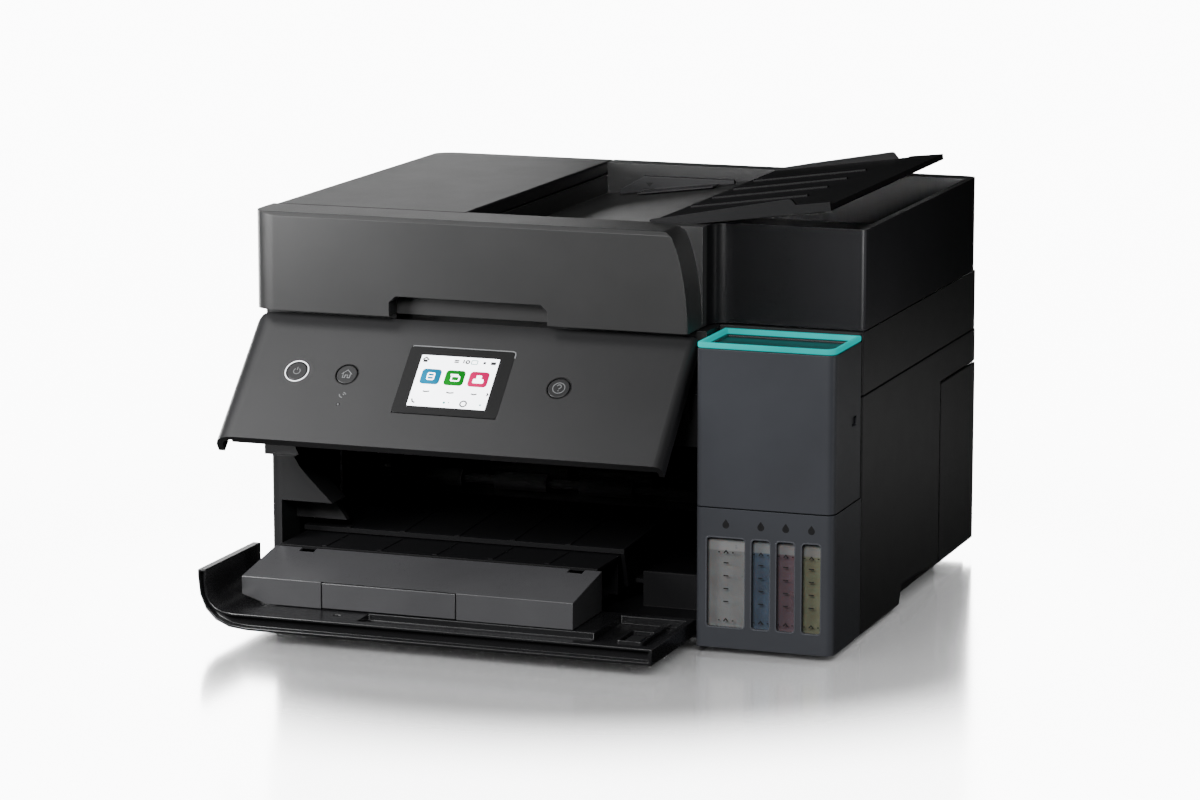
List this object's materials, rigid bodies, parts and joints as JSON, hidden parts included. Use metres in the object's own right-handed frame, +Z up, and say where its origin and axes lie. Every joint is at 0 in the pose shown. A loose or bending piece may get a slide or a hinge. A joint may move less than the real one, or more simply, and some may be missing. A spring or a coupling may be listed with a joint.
{
  "type": "inkjet printer",
  "caption": "All-in-one ink-tank inkjet printer: document feeder with folding tray, flatbed scanner, tilting touch panel, hinged tank cover, paper cassette and fold-down front flap.",
  "frame": {"origin": "centre of the whole machine's footprint, on the table under its feet, with the tray, flap and panel open as built", "axes": "+Z up, -Y towards the user, +X to the user's right, where the ink tanks are"},
  "size_m": [0.3636, 0.37, 0.2548],
  "materials": {
    "housing": "satin charcoal plastic with a fine moulded grain",
    "cover": "satin charcoal plastic",
    "panel": "satin dark grey plastic",
    "tank_shell": "satin slate grey plastic",
    "inner_black": "matt black plastic",
    "key": "smooth dark plastic",
    "grey": "matt mid grey plastic",
    "light_ring": "glowing teal light guide",
    "glass": "clear float glass",
    "display": "gloss black display window",
    "steel": "galvanised sheet steel",
    "rubber": "black rubber",
    "white": "white plastic and foam",
    "board": "green circuit board",
    "ink_black": "translucent tank with black ink",
    "ink_cyan": "translucent tank with cyan ink",
    "ink_magenta": "translucent tank with magenta ink",
    "ink_yellow": "translucent tank with yellow ink"
  },
  "bodies": {
    "chassis": {"base_chassis": "housing", "foot_front_left": "rubber", "foot_front_right": "rubber", "foot_rear_left": "rubber", "foot_rear_right": "rubber", "left_side_cover": "housing", "right_side_cover": "housing", "right_rear_panel": "housing", "rear_cover": "housing", "front_frame": "housing", "output_deck": "inner_black", "engine_frame": "steel", "print_platen": "inner_black", "carriage_belt": "rubber", "carriage_motor": "steel", "feed_motor": "steel", "capping_station": "grey", "mainboard": "board", "power_supply": "steel", "ac_inlet": "inner_black", "tank_housing": "tank_shell", "ink_tank_black": "ink_black", "ink_tank_cyan": "ink_cyan", "ink_tank_magenta": "ink_magenta", "ink_tank_yellow": "ink_yellow"},
    "duplex_unit": {"duplex_unit": "inner_black"},
    "maintenance_box": {"maintenance_box": "grey"},
    "sliding_tray": {"sliding_tray": "cover"},
    "cassette": {"cassette_tub": "inner_black"},
    "cassette_guide_left": {"cassette_guide_left": "grey"},
    "cassette_guide_right": {"cassette_guide_right": "grey"},
    "flap": {"front_flap": "housing", "output_support": "panel"},
    "extension": {"output_extension": "cover"},
    "print_carriage": {"print_carriage": "inner_black"},
    "belt_pulley": {"belt_pulley": "steel"},
    "feed_roller": {"feed_roller": "rubber"},
    "idler": {"idler_gear": "white"},
    "exit_roller": {"exit_roller": "rubber"},
    "tank_cover": {"tank_cover": "tank_shell", "tank_light_ring": "light_ring"},
    "cap_black": {"tank_cap_black": "key"},
    "cap_cyan": {"tank_cap_cyan": "key"},
    "cap_magenta": {"tank_cap_magenta": "key"},
    "cap_yellow": {"tank_cap_yellow": "key"},
    "scanner_unit": {"scanner_base": "housing", "platen_glass": "glass"},
    "scan_carriage": {"scan_carriage": "inner_black"},
    "lid": {"lid_body": "housing", "lid_pad": "white"},
    "adf_cover": {"adf_cover": "cover"},
    "adf_tray": {"adf_input_tray": "cover"},
    "adf_guide_front": {"adf_guide_front": "panel"},
    "adf_guide_rear": {"adf_guide_rear": "panel"},
    "adf_roller": {"adf_feed_roller": "rubber"},
    "control_panel": {"control_panel": "panel", "display_module": "display"},
    "power_button": {"power_button": "key"},
    "home_button": {"home_button": "key"},
    "help_button": {"help_button": "key"}
  },
  "joints": [
    {"name": "cassette_slide", "type": "slide", "parent": "chassis", "child": "cassette", "axis": [0, -1, 0], "range_m": [0, 0.15]},
    {"name": "cassette_guide_left_slide", "type": "slide", "parent": "cassette", "child": "cassette_guide_left", "axis": [1, 0, 0], "range_m": [0, 0.045]},
    {"name": "cassette_guide_right_slide", "type": "slide", "parent": "cassette", "child": "cassette_guide_right", "axis": [1, 0, 0], "range_m": [-0.045, 0]},
    {"name": "flap_hinge", "type": "hinge", "parent": "cassette", "child": "flap", "pos_m": [-0.0408, -0.1075, 0.0085], "axis": [-1, 0, 0], "range_deg": [0, 90]},
    {"name": "sliding_tray_slide", "type": "slide", "parent": "chassis", "child": "sliding_tray", "axis": [0, 1, 0], "range_m": [0, 0.0431]},
    {"name": "extension_slide", "type": "slide", "parent": "flap", "child": "extension", "axis": [0, -1, 0], "range_m": [0, 0.034]},
    {"name": "control_panel_tilt", "type": "hinge", "parent": "chassis", "child": "control_panel", "pos_m": [-0.0408, -0.1005, 0.166], "axis": [1, 0, 0], "range_deg": [0, 45]},
    {"name": "power_button_press", "type": "slide", "parent": "control_panel", "child": "power_button", "axis": [0, 0.7071, -0.7071], "range_m": [0, 0.0008], "stiffness_N_per_m": 600},
    {"name": "home_button_press", "type": "slide", "parent": "control_panel", "child": "home_button", "axis": [0, 0.7071, -0.7071], "range_m": [0, 0.0008], "stiffness_N_per_m": 600},
    {"name": "help_button_press", "type": "slide", "parent": "control_panel", "child": "help_button", "axis": [0, 0.7071, -0.7071], "range_m": [0, 0.0008], "stiffness_N_per_m": 600},
    {"name": "scanner_unit_hinge", "type": "hinge", "parent": "chassis", "child": "scanner_unit", "pos_m": [0.0032, 0.185, 0.143], "axis": [-1, 0, 0], "range_deg": [0, 35]},
    {"name": "scan_carriage_slide", "type": "slide", "parent": "scanner_unit", "child": "scan_carriage", "axis": [1, 0, 0], "range_m": [0, 0.27]},
    {"name": "lid_hinge", "type": "hinge", "parent": "scanner_unit", "child": "lid", "pos_m": [0.0032, 0.185, 0.1797], "axis": [-1, 0, 0], "range_deg": [0, 60]},
    {"name": "adf_cover_hinge", "type": "hinge", "parent": "lid", "child": "adf_cover", "pos_m": [-0.1798, 0.0495, 0.2298], "axis": [0, -1, 0], "range_deg": [0, 70]},
    {"name": "adf_tray_hinge", "type": "hinge", "parent": "lid", "child": "adf_tray", "pos_m": [0.0542, 0.0495, 0.2356], "axis": [0, -1, 0], "range_deg": [0, 170]},
    {"name": "adf_guide_front_slide", "type": "slide", "parent": "lid", "child": "adf_guide_front", "axis": [0, 1, 0], "range_m": [0, 0.06]},
    {"name": "adf_guide_rear_slide", "type": "slide", "parent": "lid", "child": "adf_guide_rear", "axis": [0, 1, 0], "range_m": [-0.06, 0]},
    {"name": "adf_roller_spin", "type": "hinge", "parent": "lid", "child": "adf_roller", "pos_m": [-0.1088, 0.0495, 0.22], "axis": [0, 1, 0], "continuous": true},
    {"name": "print_carriage_slide", "type": "slide", "parent": "chassis", "child": "print_carriage", "axis": [-1, 0, 0], "range_m": [0, 0.25]},
    {"name": "belt_pulley_spin", "type": "hinge", "parent": "chassis", "child": "belt_pulley", "pos_m": [0.1532, 0.0885, 0.112], "axis": [0, 1, 0], "range_deg": [-2340, 60]},
    {"name": "feed_roller_spin", "type": "hinge", "parent": "chassis", "child": "feed_roller", "pos_m": [0.0032, 0.0495, 0.062], "axis": [1, 0, 0], "continuous": true},
    {"name": "idler_spin", "type": "hinge", "parent": "chassis", "child": "idler", "pos_m": [-0.1558, 0.0305, 0.062], "axis": [1, 0, 0], "continuous": true},
    {"name": "exit_roller_spin", "type": "hinge", "parent": "chassis", "child": "exit_roller", "pos_m": [0.0032, 0.0115, 0.062], "axis": [1, 0, 0], "continuous": true},
    {"name": "tank_cover_hinge", "type": "hinge", "parent": "chassis", "child": "tank_cover", "pos_m": [0.1407, -0.072, 0.173], "axis": [-1, 0, 0], "range_deg": [0, 65]},
    {"name": "cap_black_hinge", "type": "hinge", "parent": "chassis", "child": "cap_black", "pos_m": [0.1181, -0.0775, 0.1145], "axis": [-1, 0, 0], "range_deg": [0, 70]},
    {"name": "cap_cyan_hinge", "type": "hinge", "parent": "chassis", "child": "cap_cyan", "pos_m": [0.13885, -0.0775, 0.1145], "axis": [-1, 0, 0], "range_deg": [0, 70]},
    {"name": "cap_magenta_hinge", "type": "hinge", "parent": "chassis", "child": "cap_magenta", "pos_m": [0.15355, -0.0775, 0.1145], "axis": [-1, 0, 0], "range_deg": [0, 70]},
    {"name": "cap_yellow_hinge", "type": "hinge", "parent": "chassis", "child": "cap_yellow", "pos_m": [0.1687, -0.0775, 0.1145], "axis": [-1, 0, 0], "range_deg": [0, 70]},
    {"name": "duplex_unit_slide", "type": "slide", "parent": "chassis", "child": "duplex_unit", "axis": [0, 1, 0], "range_m": [0, 0.08]},
    {"name": "maintenance_box_slide", "type": "slide", "parent": "chassis", "child": "maintenance_box", "axis": [0, 1, 0], "range_m": [0, 0.09]}
  ],
  "couplings": [
    {"joint": "cassette_guide_right_slide", "follows": "cassette_guide_left_slide", "ratio": -1},
    {"joint": "sliding_tray_slide", "follows": "flap_hinge", "m_per_rad": 0.0274},
    {"joint": "adf_guide_rear_slide", "follows": "adf_guide_front_slide", "ratio": -1},
    {"joint": "belt_pulley_spin", "follows": "print_carriage_slide", "rad_per_m": -161.29},
    {"joint": "idler_spin", "follows": "feed_roller_spin", "ratio": -1.7143},
    {"joint": "exit_roller_spin", "follows": "feed_roller_spin", "ratio": 1}
  ]
}
